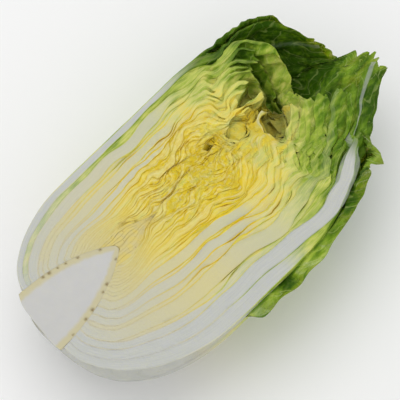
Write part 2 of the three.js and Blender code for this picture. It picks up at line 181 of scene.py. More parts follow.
def list_leaves():
    """All leaves from the outside in, with their place round the head, tip, width and rib."""
    leaves = [
        SimpleNamespace(name="wrapper_leaf_1", azimuth=112, tip=0.985, spread=108, rib=8.5),
        SimpleNamespace(name="wrapper_leaf_2", azimuth=6, tip=0.71, spread=96, rib=6.8),
        SimpleNamespace(name="wrapper_leaf_3", azimuth=162, tip=0.99, spread=96, rib=5.6),
        SimpleNamespace(name="wrapper_leaf_4", azimuth=4, tip=1.0, spread=163, rib=6.0),
    ]
    groups = [
        SimpleNamespace(kind="head", count=18, tip=(0.9, 0.87), side_tip=(0.08, 0.03), rib=(8, 4.5)),
        SimpleNamespace(kind="heart", count=22, tip=(0.94, 0.7), side_tip=(0, 0), rib=(2.4, 0.8)),
    ]
    azimuth = FIRST_AZIMUTH
    for group in groups:
        number = 1
        while number <= group.count:
            turned = azimuth % 360
            azimuth += LEAF_TURN
            if CUT_AWAY[0] < turned < CUT_AWAY[1]:
                continue
            along = (number - 1) / (group.count - 1)
            turned = turned - 360 if turned >= CUT_AWAY[1] else turned
            right_tip, left_tip = group.side_tip
            longer = right_tip * (1 - smooth(20, 60, turned)) + left_tip * smooth(120, 165, turned)
            leaves.append(SimpleNamespace(
                name=f"{group.kind}_leaf_{number}",
                azimuth=turned,
                tip=mix(*group.tip, along) + longer,
                spread=98,
                rib=mix(*group.rib, along),
            ))
            number += 1
    for order, leaf in enumerate(leaves):
        leaf.order = order
        leaf.blade = BLADE
        leaf.paler = 0
        leaf.rib_ends = (0.5, 0.95 if order < WRAPPER_COUNT else 0.85)
        if order == SHORT:
            leaf.rib_ends = (0.62, 1.04)
        set_flesh(leaf)
        vars(leaf).update(CROWN_LEAVES.get(leaf.name, {}))
    return leaves


LEAVES = list_leaves()


def sheath_half_width(leaf, s):
    """Half the leaf's width, in degrees, at share s of its length, before its tip rounds off."""
    return leaf.spread * (0.55 + 0.45 * np.sin(np.minimum(s / 0.42, 1) * math.pi / 2))


def half_width(leaf, s):
    drawn_in = 0.1 if leaf.order == FAN else 0.55
    rounding = 1 - drawn_in * np.clip((s - 0.74) / 0.26, 0, 1.3) ** 2.2
    return sheath_half_width(leaf, s) * np.maximum(rounding, 0.1)


def left_margin_in(leaf, s):
    """How far, in degrees, the loose leaf's left margin stays in from its full width, below the crown."""
    return 66 * (1 - smooth(0.62, 0.88, s)) if leaf.order == LOOSE else 0 * s


def past_margin(leaf, s, degrees, edge):
    """Degrees by which a place lies outside the leaf, below 0 inside it."""
    offset = degrees - leaf.azimuth
    return np.maximum(-offset - edge, offset - edge + left_margin_in(leaf, s))


def rib_share(leaf, s, degrees):
    """1 on the midrib, falling to 0 on the blade."""
    rib_half = mix(46, 14, np.clip(s, 0, 1) ** 0.8)
    return np.exp(-(np.abs(degrees - leaf.azimuth) / rib_half) ** 2.5)


def thickness(leaf, s, degrees):
    """The leaf's natural thickness in millimetres: its midrib thins out between its two ends."""
    rib = leaf.rib * (1 - 0.85 * smooth(*leaf.rib_ends, s))
    grown = leaf.blade + np.maximum(rib - leaf.blade, 0) * rib_share(leaf, s, degrees)
    return mix(grown, BLADE, smooth(0.97, 1.03, s))


def wobble(order, u, degrees):
    """A leaf's own crinkles: how much more or less of the stack it takes at each place, from -1 to 1."""
    place = np.stack([90 * u, 0.9 * degrees, np.full_like(u, 57.0 * order)], axis=-1)
    return np.clip(ripple(WOBBLE_WAVES, place), -1, 1)


def claim_at(leaf, u, degrees, crinkled):
    """How much of the stack's depth a leaf takes, in millimetres: in the crown also past its edge."""
    s = u / leaf.tip
    share = 1
    if crinkled:
        loose = 1 - rib_share(leaf, s, degrees)
        share = 1 + 0.85 * loose * smooth(0.25, 0.45, u) * wobble(leaf.order, u, degrees)
    keeps = smooth(0.8, 0.88, u) * (leaf.tip > 0.8)
    edge = mix(half_width(leaf, s), sheath_half_width(leaf, s) + 12, keeps)
    presence = 1 - smooth(-6, 0.5, past_margin(leaf, s, degrees, edge))
    presence = presence * mix(1 - smooth(0.88, 1.0, s), 1, keeps)
    return (thickness(leaf, s, degrees) + GAP) * share * presence + 1e-3


def open_crown(u, degrees):
    """Room left open in the crown between the wrapper leaves and the head's own, in millimetres."""
    return 20 * smooth(0.86, 0.94, u) * smooth(40, 90, degrees) * (1 - 0.75 * smooth(125, 160, degrees))


def stack(leaf, u, degrees, crinkled=True):
    """The leaf's place between the outermost layer and the bud: q outside and inside of it."""
    outside = open_crown(u, degrees) if leaf.order >= WRAPPER_COUNT else np.zeros_like(u)
    total = open_crown(u, degrees)
    own = None
    for other in LEAVES:
        claim = claim_at(other, u, degrees, crinkled)
        if other is leaf:
            own = claim
        if other.order < leaf.order:
            outside = outside + claim
        total = total + claim
    depth = 1 - HEART_SHARE * (1 - smooth(0.12, 0.24, u))
    return 1 - outside / total * depth, 1 - (outside + own) / total * depth


# ---- Crumple -------------------------------------------------------------------------------------------

def make_waves(seed, count, shortest, longest, stretch=1.0):
    """Plane waves of random direction, drawn out along the head, each pushing at right angles to that."""
    rng = np.random.default_rng(seed)
    direction = rng.normal(size=(count, 3))
    direction /= np.linalg.norm(direction, axis=1)[:, None]
    push = np.cross(direction, rng.normal(size=(count, 3)))
    push /= np.linalg.norm(push, axis=1)[:, None]
    length = shortest * (longest / shortest) ** rng.random(count)
    return SimpleNamespace(
        wave=direction * (2 * math.pi / length)[:, None] / [1, stretch, 1],
        push=push * math.sqrt(2 / count),
        phase=rng.random(count) * 2 * math.pi,
    )


def ripple(waves, points, shift=0.0):
    """A smooth random number at each point, mostly between -1 and 1."""
    phase = points @ waves.wave.T + waves.phase + shift
    return np.sin(phase).sum(axis=-1) * math.sqrt(2 / len(waves.phase)) / 1.6


def drift(waves, points):
    """The waves' push at each point, in millimetres for a strength of 1."""
    return np.sin(points @ waves.wave.T + waves.phase) @ waves.push


WOBBLE_WAVES = make_waves(2, 10, 7, 20)
FOLD_WAVES = make_waves(3, 24, 14, 28, stretch=3.0)
CREASE_WAVES = make_waves(4, 26, 6, 12, stretch=2.8)
FINE_WAVES = make_waves(6, 24, 4.2, 7, stretch=2.2)
CRINKLE_WAVES = make_waves(5, 28, 6, 12)
SWAY_WAVES = make_waves(8, 20, 45, 90)
RELIEF_WAVES = make_waves(11, 30, 2.6, 6.5, stretch=1.4)
GAPE_WAVES = make_waves(13, 24, 6, 13, stretch=4.0)
# The folds move the points in this many small steps, so that they don't cross each other.
FOLD_STEPS = 5

# Hollows between the heart's leaves that the knife has opened: middle on the cut face, half-widths
# across, along and down, the turn of their long side in degrees, how much greener they are, partly
# painted shade, how dark the painted shade in them is, and how pale their rim is, partly a painted
# highlight.
HOLLOWS = [
    SimpleNamespace(x=15, y=217, size=(11, 7.5, 15), turn=-25, green=0.1, painted_shade=1, rim=1),
    SimpleNamespace(x=-13, y=219, size=(5, 7, 12), turn=20, green=0.35, painted_shade=0.8, rim=0.3),
    SimpleNamespace(x=-1, y=195, size=(8.5, 7, 7), turn=30, green=0.08, painted_shade=0.12, rim=0.2),
    SimpleNamespace(x=-5, y=169, size=(2.6, 9, 7), turn=8, green=0.04, painted_shade=0.4, rim=0),
]
# How far from a hollow's middle line the leaves on its sides part before it opens, in half-widths.
APART = 0.35


def far_from(hollow, points):
    """Each point as seen from a hollow's middle, and its distance, 1 on the three-cornered rim."""
    turn = math.radians(hollow.turn)
    turned = np.array([
        [math.cos(turn), math.sin(turn), 0],
        [-math.sin(turn), math.cos(turn), 0],
        [0, 0, 1],
    ])
    local = (points - [hollow.x, hollow.y, 0]) @ turned.T / hollow.size
    length = np.maximum(np.linalg.norm(local, axis=-1), 0.02)
    level = np.hypot(local[..., 0], local[..., 1]) / length
    corners = np.cos(3 * np.arctan2(local[..., 1], local[..., 0]))
    return local, turned, length * (1 - 0.2 * corners * level ** 2)


def open_hollows(points):
    """Pushes the leaves out of each hollow, as a bubble would."""
    for hollow in HOLLOWS:
        local, turned, far = far_from(hollow, points)
        moved = local * ((far ** 3 + 1) ** (1 / 3) / far)[..., None]
        points = (moved * hollow.size) @ turned + [hollow.x, hollow.y, 0]
    return points


def heart_share(points):
    """1 in the middle of the crumpled heart, 0 outside it."""
    x, y, z = points[..., 0], points[..., 1], points[..., 2]
    from_heart = np.sqrt(((x + 3) / 38) ** 2 + ((y - 150) / 58) ** 2 + (z / 40) ** 2)
    return (1 - smooth(0.4, 1.15, from_heart))[..., None]


def part_at_hollows(outside, inside, degrees):
    """Parts the leaves at each hollow, and keeps each half of a leaf wholly on one side of it."""
    for hollow in HOLLOWS:
        local, _, far = far_from(hollow, (outside + inside) / 2)
        side = np.ones_like(far)
        for half in (degrees < 90, degrees >= 90):
            if half.any() and local[half][np.argmin(far[half]), 0] < 0:
                side[half] = -1
        near = 1 - smooth(1.0, 1.9, far)
        parted = []
        for points in (outside, inside):
            local, turned, _ = far_from(hollow, points)
            away = (np.maximum(side * local[..., 0], 0) ** 3 + APART ** 3) ** (1 / 3)
            local[..., 0] = mix(local[..., 0], side * away, near)
            parted.append((local * hollow.size) @ turned + [hollow.x, hollow.y, 0])
        outside, inside = parted
    return outside, inside


def hollow_share(points):
    """1 in and round the hollows, where the leaves are less creased."""
    near = np.zeros(points.shape[:-1])
    for hollow in HOLLOWS:
        near = np.maximum(near, 1 - smooth(1.1, 1.9, far_from(hollow, points)[2]))
    return near[..., None]


def hollow_shades(points):
    """Greener tone (partly painted shade), painted shade, and pale left rim (partly painted highlight) in
    the hollows.
    """
    green, painted_shade, rim = np.zeros((3,) + points.shape[:-1])
    for hollow in HOLLOWS:
        local, _, far = far_from(hollow, points)
        # Greener in the hollows: partly the leaves' own colour, partly painted shade.
        green = np.maximum(green, hollow.green * (1 - smooth(0.95, 1.4, far)))
        # Painted shade, darker the deeper the place lies below the cut face.
        deep = mix(0.6, 1, smooth(3, 11, -points[..., 2])) * smooth(1, 3, -points[..., 2])
        painted_shade = np.maximum(painted_shade, hollow.painted_shade * (1 - smooth(1.4, 1.8, far)) * deep)
        # The leaf's pale edge on the left rim, brightened as a painted highlight.
        on_rim = np.exp(-((far - 1.2) / 0.08) ** 2) * smooth(-3, -0.5, points[..., 2])
        rim = np.maximum(rim, hollow.rim * on_rim * smooth(0, 0.5, -local[..., 0] - local[..., 1]))
    return green, painted_shade, rim


def blade_share(points):
    """1 on the outside of the head above the stem end, where the blades are crinkled."""
    return (smooth(80, 150, points[..., 1]) * smooth(8, 30, -points[..., 2]))[..., None]


def bud_share(points):
    """1 in the bud, 0 outside it."""
    from_bud = np.hypot((points[..., 0] - 1) / 15, (points[..., 1] - 88) / 17)
    return (1 - smooth(0.5, 1.1, from_bud))[..., None]


def crown_share(points):
    """0 in the middle of the head, rising to 1 at the leaf tips."""
    return smooth(170, 250, points[..., 1])[..., None]


def crumple(points):
    """Moves points with the folds that all leaves share. The cut face stays in its plane."""
    for _ in range(FOLD_STEPS):
        heart = heart_share(points)
        crown = crown_share(points)
        blade = blade_share(points)
        knot = bud_share(points)
        calm = 1 - 0.85 * hollow_share(points)
        creased = 2.3 * heart * calm + 0.3 * crown + 0.12 + 0.8 * blade + 0.6 * knot
        folds = drift(FOLD_WAVES, points) * (2.7 * heart + 1.2 * crown + 0.9 * blade)
        creases = drift(CREASE_WAVES, points) * creased
        fine = drift(FINE_WAVES, points) * (1.2 * heart * calm + 0.5 * knot)
        sway = drift(SWAY_WAVES, points) * 1.8 * crown
        move = (folds + creases + fine + sway) / FOLD_STEPS
        move[..., 2] *= smooth(0, 9, -points[..., 2])
        points = points + move
    return points


# ---- Building a leaf -----------------------------------------------------------------------------------

# Steps through a leaf's thickness, and the distance between rows along it, in millimetres, near the stem
# and above.
WALL_STEPS = 4
ROW_STEPS = (3.4, 1.6)


def spaced(low, high, step_at):
    """Numbers from low to high whose spacing at each is about step_at(number)."""
    values = [low]
    while values[-1] < high:
        values.append(values[-1] + step_at(values[-1]))
    values = np.array(values)
    return low + (values - low) * (high - low) / (values[-1] - low)


def leaf_length(leaf):
    """The leaf's length in millimetres, measured along the middle of its place in the stack."""
    u = np.linspace(0, leaf.tip, 60)
    degrees = np.full_like(u, np.clip(leaf.azimuth, 0, 180))
    q_out, q_in = stack(leaf, u, degrees)
    line = layer_point((q_out + q_in) / 2, u, degrees)
    return np.linalg.norm(np.diff(line, axis=0), axis=1).sum()


def leaf_rows(leaf):
    return spaced(0, 1, lambda s: mix(*ROW_STEPS, smooth(0.1, 0.4, s)) / leaf.length)


# Columns across a leaf, for the leaves up to each order.
COLUMN_COUNTS = [(LOOSE, 120), (3, 84), (9, 56), (math.inf, 34)]


def leaf_columns(leaf, start_cut, end_cut):
    """Shares across the leaf from its first margin to its last, close together at the cut face."""
    count = next(count for last, count in COLUMN_COUNTS if leaf.order <= last)
    even = np.linspace(0, 1, count)
    if leaf.order == LOOSE:
        return even ** 1.5
    if start_cut and end_cut:
        return even - 0.13 * np.sin(2 * math.pi * even)
    if start_cut:
        return even ** 1.8
    if end_cut:
        return 1 - (1 - even) ** 1.8
    return even


def draw_back(leaf, s):
    """How far, in degrees, the loose leaf's right margin draws back towards the tip."""
    return 42 * smooth(0.81, 0.9, s) if leaf.order == LOOSE else 0 * s


def flare(leaf, points, s, degrees, outward):
    """The loose leaf's free margin turns outwards along the right side, in ruffles, with one ear."""
    if leaf.order != LOOSE:
        return points
    y = points[..., 1]
    margin = leaf.azimuth - half_width(leaf, s) + draw_back(leaf, s)
    inside = np.maximum(degrees - margin, 0)
    turned = 1 - np.minimum(inside / 8, 1)
    amount = mix(10, 8, smooth(195, 225, y)) * smooth(104, 112, y) * (1 - smooth(235, 250, y))
    ear = 16 * np.exp(-((y - 251) / 6) ** 2)
    amount = amount + ear
    ruffle = np.sin(y / 5.3 + 1.5 * np.sin(y / 23)) + np.sin(y / 11.7 + 1)
    free = smooth(0, 4, amount)
    push = turned * (amount + ruffle * free * (1 - smooth(236, 246, y)))
    moved = points + outward * push[..., None]
    ledge = -3.5 + 1.2 * ruffle * turned - 6 * margin_folds(y) * (1 - 0.4 * turned)
    moved[..., 2] = mix(moved[..., 2], np.minimum(ledge, -0.5), smooth(0, 0.15, turned) * free)
    return moved


def frill(leaf, degrees):
    """How far the tip's margin runs out in teeth and lobes, in millimetres."""
    order = leaf.order
    uneven = 1.7 * np.sin(degrees / 23 + order) + order
    teeth = np.abs(np.sin(np.radians(degrees) * 14 + uneven)) ** 0.7
    lobes = np.sin(np.radians(degrees) * 3.1 + order * (2 if order < WRAPPER_COUNT else 0.5))
    size = 1.0
    if order == FAN:
        # The fan of loose blade on the right, with its long teeth.
        size = 8 * (1 - smooth(135, 155, degrees))
        lobes = lobes + 14.5 * np.exp(-((degrees - 106) / 28) ** 2) - 9 * smooth(132, 152, degrees)
    if order == LOOSE:
        lobes = lobes - 5.5 * np.exp(-((degrees - 112) / 14) ** 2)
    return size * (teeth - 0.5) + 1.6 * lobes


def packed_share(leaf, y, ribbed):
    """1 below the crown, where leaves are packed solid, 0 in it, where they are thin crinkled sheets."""
    if leaf.order < WRAPPER_COUNT:
        return 1 - smooth(0, 1, (y - 200 - 40 * ribbed) / (32 - 8 * ribbed))
    return 1 - smooth(238, 262, y)


def leaf_surfaces(leaf):
    """The leaf's outer and inner surface, as nets of points. Keeps on the leaf what its colours need."""
    rows = leaf_rows(leaf)
    widths = half_width(leaf, rows)
    first = np.maximum(leaf.azimuth - widths, 0)
    last = np.minimum(leaf.azimuth + widths - left_margin_in(leaf, rows), 180)
    last = np.maximum(last, first + 0.5)
    leaf.cut_start = bool(np.median(first) <= 0)
    leaf.cut_end = bool(np.median(last) >= 180)
    columns = leaf_columns(leaf, leaf.cut_start, leaf.cut_end)
    s = np.repeat(rows[:, None], len(columns), axis=1)
    degrees = first[:, None] + (last - first)[:, None] * columns[None, :]
    if leaf.order == LOOSE:
        degrees = np.maximum(degrees, first[:, None] + draw_back(leaf, s))
    u = s * leaf.tip + smooth(0.8, 1, s) * frill(leaf, degrees) / leaf.length
    q_out, q_in = stack(leaf, u, degrees)
    steady = sum(stack(leaf, u, degrees, crinkled=False)) / 2
    outside = layer_point(q_out, u, degrees, steady)
    inside = layer_point(q_in, u, degrees, steady)
    outside, inside = part_at_hollows(outside, inside, degrees)
    across = inside - outside
    room = np.maximum(np.linalg.norm(across, axis=-1), 0.05)
    ribbed = rib_share(leaf, s, degrees)
    middle = (outside + inside) / 2
    packed = packed_share(leaf, middle[..., 1], ribbed)
    sheet = np.minimum(thickness(leaf, s, degrees), room - 0.1)
    thick = mix(sheet, room - 0.04, packed)
    edge = np.minimum(
        -past_margin(leaf, s, degrees, half_width(leaf, s)) / 7,
        (1 - s) * leaf.length / 6,
    )
    thick = np.maximum(thick, 0.3 * np.minimum(room, 3)) * mix(mix(0.5, 1, packed), 1, smooth(0, 1, edge))
    is_wrapper = leaf.order < WRAPPER_COUNT
    slack = np.minimum((room - thick) / 2, 1.5 if is_wrapper else 2.6) / room
    crinkle = ripple(CRINKLE_WAVES, middle, leaf.order * 1.7)
    # The wrapper leaves' blades lie out against the outside of their place.
    settled = mix(0.5, (thick / 2 + slack * room) / room, 0.8 * is_wrapper)
    share = settled + np.clip(crinkle, -1, 1) * slack * (1 - 0.8 * ribbed) * 0.95
    outward = -across / room[..., None]
    surfaces = []
    leaf.unfolded = []
    for side in (-0.5, 0.5):
        place = outside + across * (share + side * thick / room)[..., None]
        unfolded = open_hollows(flare(leaf, place, s, degrees, outward))
        leaf.unfolded.append(unfolded)
        surfaces.append(crumple(unfolded))
    leaf.s = s
    leaf.degrees = degrees
    leaf.thick = thick
    leaf.ribbed = ribbed
    leaf.q = (q_out + q_in) / 2
    leaf.side = arc_across(leaf, surfaces[0])
    return surfaces


def arc_across(leaf, surface):
    """Distance in millimetres across the leaf from its midrib, at each point of its net."""
    steps = np.linalg.norm(np.diff(surface, axis=1), axis=-1)
    arc = np.concatenate([np.zeros((len(steps), 1)), np.cumsum(steps, axis=1)], axis=1)
    spread = leaf.degrees[:, -1] - leaf.degrees[:, 0]
    per_degree = arc[:, -1] / np.maximum(spread, 1)
    rows = range(len(arc))
    at_rib = np.array([np.interp(leaf.azimuth, leaf.degrees[i], arc[i]) for i in rows])
    before = np.minimum(leaf.azimuth - leaf.degrees[:, 0], 0) * per_degree
    after = np.maximum(leaf.azimuth - leaf.degrees[:, -1], 0) * per_degree
    return arc - (at_rib + before + after)[:, None]


def grown_grid(name, row_count, column_count):
    """A grid with its thickness extruded, its vertices still at their places in the leaf's own net."""
    bpy.ops.mesh.primitive_grid_add(x_subdivisions=column_count - 1, y_subdivisions=row_count - 1, size=2)
    piece = bpy.context.object
    piece.name = name
    bpy.ops.object.mode_set(mode="EDIT")
    bpy.ops.mesh.select_all(action="SELECT")
    for _ in range(WALL_STEPS):
        bpy.ops.mesh.extrude_region_move(TRANSFORM_OT_translate={"value": (0, 0, 1)})
    bpy.ops.object.mode_set(mode="OBJECT")
    return piece


def net_places(mesh, row_count, column_count):
    """The row, column and share of the thickness of each vertex of a grown grid."""
    net = np.empty(len(mesh.vertices) * 3, dtype=np.float32)
    mesh.vertices.foreach_get("co", net)
    net = net.reshape(-1, 3)
    column = np.rint((net[:, 0] + 1) / 2 * (column_count - 1)).astype(int)
    row = np.rint((net[:, 1] + 1) / 2 * (row_count - 1)).astype(int)
    return row, column, net[:, 2] / WALL_STEPS


def set_attribute(mesh, name, values):
    layer = mesh.attributes.new(name, "FLOAT", "POINT")
    layer.data.foreach_set("value", np.ascontiguousarray(values, dtype=np.float32))


def to_frame(points):
    return (points + HEAD_ZERO) / 1000


def finish_mesh(piece, points):
    """Puts the vertices in place, turns the faces outwards and shades all but the sharp edges smooth."""
    piece.data.vertices.foreach_set("co", to_frame(points).astype(np.float32).ravel())
    bpy.ops.object.mode_set(mode="EDIT")
    bpy.ops.mesh.select_all(action="SELECT")
    bpy.ops.mesh.normals_make_consistent(inside=False)
    bpy.ops.object.mode_set(mode="OBJECT")
    bpy.ops.object.shade_smooth_by_angle(angle=math.radians(50))


def cut_flakes(points, crumpled, order):
    """How far below its plane the cut face lies: almost level on ribs, torn and flaky in the heart."""
    heart = heart_share(points)[..., 0]
    flaky = mix(ripple(GAPE_WAVES, points, 2.1 * order), ripple(RELIEF_WAVES, points, 2.1 * order), heart)
    return mix(0.05, mix(0.9, 1.7, heart), crumpled) * (0.5 + 0.5 * np.clip(flaky, -1, 1))


GAPE_DEPTH = 1.2


def cut_gape(points, through):
    """Where neighbouring leaves gape apart at the cut face, from 0 to 1."""
    heart = heart_share(points)[..., 0]
    open_here = np.clip(1.8 * ripple(GAPE_WAVES, points, 3.0) - 0.6, 0, 1)
    return open_here * (1 - 0.7 * heart) * np.abs(through) ** 3


def fleshy_share(leaf, row, column, points, q):
    """1 where the cut shows thick white or cream flesh, 0 where it shows blade."""
    natural = thickness(leaf, leaf.s, leaf.degrees)[row, column]
    fades = smooth(*leaf.fleshy_to, leaf.s[row, column])
    fleshy = smooth(*leaf.fleshy_from, natural - leaf.blade) * (1 - fades)
    # Below the crown the outer leaves are pale inside all round, not only at the rib.
    y = points[:, 1]
    sheath = 0.85 * smooth(3, 6, leaf.order) * (1 - smooth(17, 33, leaf.order)) * (1 - smooth(120, 210, y))
    sheath *= 1 - 0.85 * smooth(0.8, 0.9, q) * smooth(85, 125, y)
    sheath *= mix(1, smooth(0.38, 0.52, q), smooth(85, 115, y))
    return np.maximum(fleshy, sheath)


def set_colours(leaf, mesh, row, column, depth, points):
    """Writes the attributes that the leaf's material reads."""
    y, q = points[:, 1], leaf.q[row, column]
    unfolded = [surface[row, column] for surface in leaf.unfolded]
    green, painted_shade, rim = hollow_shades(mix(*unfolded, depth[:, None]))
    tone = leaf_tone(leaf, points, q, leaf.degrees[row, column])
    shares = {
        "through": 2 * depth - 1,
        "thick": leaf.thick[row, column],
        "fleshy": fleshy_share(leaf, row, column, points, q),
        "ribbed": rib_white(leaf, leaf.s, leaf.side)[row, column],
        "tone": tone + green,
        "painted_hollow_shade": painted_shade,
        "rim": rim,
        "heart": heart_share(points)[..., 0],
        "young": young_share(points) * leaf.young,
        "tinged": 0.7 * smooth(3.5, 4, leaf.order) * smooth(100, 180, y),
        "cream": mix(1, 0.6, smooth(90, 150, y)) * cream_share(leaf) * smooth(-5, 60, y),
    }
    for name, values in shares.items():
        set_attribute(mesh, name, values)
    # Its place on the flat leaf, in decimetres, and a step aside, so that leaves differ in their veins.
    along = leaf.s[row, column] * leaf.length
    aside = np.full(len(points), 31.0 * leaf.order)
    place = np.stack([leaf.side[row, column], along, aside], axis=-1) / 100
    grown = mesh.attributes.new("grown", "FLOAT_VECTOR", "POINT")
    grown.data.foreach_set("vector", np.ascontiguousarray(place, np.float32).ravel())


def build_leaf(leaf):
    leaf.length = leaf_length(leaf)
    outer, inner = leaf_surfaces(leaf)
    row_count, column_count = outer.shape[:2]
    piece = grown_grid(leaf.name + "_grown", row_count, column_count)
    mesh = piece.data
    row, column, depth = net_places(mesh, row_count, column_count)
    points = mix(outer[row, column], inner[row, column], depth[:, None])
    if leaf.order == LOOSE:
        points[:, 2] = np.maximum(points[:, 2], -REST_DEPTH)
    on_cut = np.abs(points[:, 2]) < 0.01
    crumpled = smooth(70, 140, points[:, 1]) * (1 - 0.85 * leaf.ribbed[row, column])
    gape = cut_gape(points, 2 * depth - 1) * crumpled * on_cut
    points[:, 2] -= on_cut * cut_flakes(points, crumpled, leaf.order) + GAPE_DEPTH * gape
    set_attribute(mesh, "gape", gape)
    set_colours(leaf, mesh, row, column, depth, points)
    finish_mesh(piece, points)
    return piece


def rib_white(leaf, s, side):
    """1 on the white midrib, which tapers to a line at the leaf's tip, 0 on the blade."""
    half = leaf.length * (0.14 * np.maximum(1 - s / 0.9, 0) ** 1.5 + 0.005)
    fade = 0.5 if leaf.order == FAN else 0.85
    pale = mix(1, 0.3, smooth(6, 24, leaf.order)) * (1 - fade * smooth(0.6, 0.85, s))
    return (1 - smooth(0.7, 1.25, np.abs(side) / half)) * pale


def leaf_tone(leaf, points, q, degrees):
    """0 deep yellow, 0.3 pale yellow-green, 0.5 light green, 0.75 green, 1 dark green."""
    x, y = points[:, 0], points[:, 1]
    is_wrapper = leaf.order < WRAPPER_COUNT
    outer = smooth(0.45, 0.95, q) * smooth(40, 130, y)
    crown = smooth(160, 240, y)
    crown_green = mix(0.5, 0.8 if is_wrapper else 0.7, q)
    # The crown leaves' tone is lifted there as painted light.
    tone = 0.52 * outer + crown * crown_green * (1 - 0.6 * outer) - leaf.paler * crown
    tone = tone + (0.14 if is_wrapper else -0.04) * smooth(185, 215, y) * smooth(-20, -45, x)
    if leaf.order > 7:
        # The leaves round the hollows have hardly turned green.
        round_hollows = np.exp(-((x - 8) / 25) ** 2) * smooth(185, 215, y) * (1 - smooth(236, 246, y))
        tone = tone - 0.34 * round_hollows
    if is_wrapper:
        # In the deep pocket behind the heart the wrappers are darker: partly their own dark green, partly
        # painted shade. Their left ends are darkened as painted shade.
        deep = np.exp(-((x + 6) / 22) ** 2) * smooth(215, 262, y)
        left_end_shade = smooth(-42, -52, x) * smooth(215, 240, y)
        right_end = smooth(38, 50, x) * smooth(258, 275, y)
        tone = tone + 0.28 * deep + 0.3 * left_end_shade + 0.3 * right_end
    elif leaf.order < 13:
        tone = tone + 0.25 * smooth(222, 240, y) * smooth(-22, -36, x)
    if leaf.order == FIRST_HEAD:
        tone = np.maximum(tone, 0.5)
    if leaf.order == LOOSE:
        # The turned margin is greener, and darker in its two deep folds as painted shade.
        greener_with_fold_shade = 0.35 * margin_folds(y) + mix(0.3, 0.16, smooth(118, 135, y))
        tone = tone + turned_margin(leaf, y, degrees) * greener_with_fold_shade
    return np.clip(tone, 0, 1)


def turned_margin(leaf, y, degrees):
    """1 on the loose leaf's turned margin and the blade next to it."""
    inside = degrees - (leaf.azimuth - leaf.spread)
    return (1 - smooth(9, 14, inside)) * smooth(104, 112, y) * (1 - smooth(232, 245, y))


def margin_folds(y):
    """1 in the two deep folds of the turned margin."""
    return np.exp(-((y - 143) / 9) ** 2) + np.exp(-((y - 218) / 9) ** 2)


def cream_share(leaf):
    """How cream a leaf's flesh is: the wrapper leaves' is white, and some of the head's is almost so."""
    return smooth(4, 8, leaf.order) * (1 - 0.55 * math.exp(-((leaf.order - 15) / 3) ** 2))


def young_share(points):
    """1 near the stem, where the leaves are pale all through."""
    return 1 - smooth(45, 122, points[:, 1])


# ---- Core and bud --------------------------------------------------------------------------------------

CORE_ROWS = 76
CORE_COLUMNS = 53
# The spindle's lower and upper end, along the head.
CORE_ENDS = (-3, CORE_HEIGHT - 1.2)
BUD_SHEETS = 4
BUD_ROWS = 34
BUD_COLUMNS = 22
# The bud's leaves end at this share of the layers' length.
BUD_TIP = 0.25


def build_core():
    """The stem: half a spindle, flat where it is cut, with its old cut end at the butt."""
    piece = grown_grid("core_grown", CORE_ROWS, CORE_COLUMNS)
    mesh = piece.data
    row, column, depth = net_places(mesh, CORE_ROWS, CORE_COLUMNS)
    share = row / (CORE_ROWS - 1)
    y = mix(*CORE_ENDS, share)
    radius = core_radius(y)
    angle = (column / (CORE_COLUMNS - 1) - 0.5) * math.pi
    x = radius * np.sin(angle)
    skin = -np.maximum(radius * np.cos(angle), 0.3)
    z = mix(0.0, skin, depth)
    # The stem was cut off aslant, and its cut end is rounded.
    rounded = 2 * (x / CORE_RADIUS) ** 4 + 4 * np.maximum(-x / CORE_RADIUS, 0) ** 8
    y = y + (1 - share) ** 24 * (rounded - 0.11 * x - 0.25 * z)
    points = np.stack([x, y, z], axis=-1)
    spots = np.zeros_like(x)
    for spot in axil_spots():
        spots = np.maximum(spots, np.exp(-((x - spot.x) ** 2 + (y - spot.y) ** 2) / spot.radius ** 2))
    on_cut = depth < 0.01
    points[:, 2] -= on_cut * (0.15 + 0.6 * spots + 0.03 * ripple(RELIEF_WAVES, points))
    set_attribute(mesh, "from_edge", radius - np.abs(x))
    set_attribute(mesh, "spots", spots * on_cut)
    set_attribute(mesh, "down", depth)
    finish_mesh(piece, points)
    return piece


def axil_spots():
    """Dark dots where the leaves' side buds sit, on both edges of the stem's cut face."""
    # Side, height and radius of each.
    places = [
        (1, 10, 0.7), (1, 24, 1.0), (1, 32, 1.2), (1, 46, 0.8), (1, 52, 1.1), (1, 69, 0.8),
        (-1, 24, 1.0), (-1, 29, 1.2), (-1, 36, 0.7), (-1, 42, 0.8), (-1, 51, 0.9), (-1, 66, 0.9),
    ]
    return [
        SimpleNamespace(x=side * (core_radius(y) - 1.3), y=y, radius=radius)
        for side, y, radius in places
    ]


def build_bud():
    """The growing tip: a knot of small pale leaves, one inside the other."""
    sheets = []
    for number in range(BUD_SHEETS):
        sheet = grown_grid(f"bud_leaf_{number}", BUD_ROWS, BUD_COLUMNS)
        row, column, depth = net_places(sheet.data, BUD_ROWS, BUD_COLUMNS)
        u = BUD_TIP * row / (BUD_ROWS - 1)
        share = (number + 0.04 + 0.92 * depth) / BUD_SHEETS
        degrees = 180 * column / (BUD_COLUMNS - 1)
        q = HEART_SHARE * (1 - share) * (1 - smooth(0.12, 0.24, u)) + 1e-3
        points = crumple(layer_point(q, u, degrees))
        on_cut = np.abs(points[:, 2]) < 0.01
        points[:, 2] -= on_cut * cut_flakes(points, 0.4, number)
        finish_mesh(sheet, points)
        sheets.append(sheet)
    bpy.ops.object.select_all(action="DESELECT")
    for sheet in sheets:
        sheet.select_set(True)
    bpy.context.view_layer.objects.active = sheets[0]
    bpy.ops.object.join()
    bud = bpy.context.object
    bud.name = "bud_grown"
    return bud


# ---- Materials -----------------------------------------------------------------------------------------

def srgb(red, green, blue):
    def linear(value):
        value /= 255
        return value / 12.92 if value <= 0.04045 else ((value + 0.055) / 1.055) ** 2.4
    return (linear(red), linear(green), linear(blue), 1)


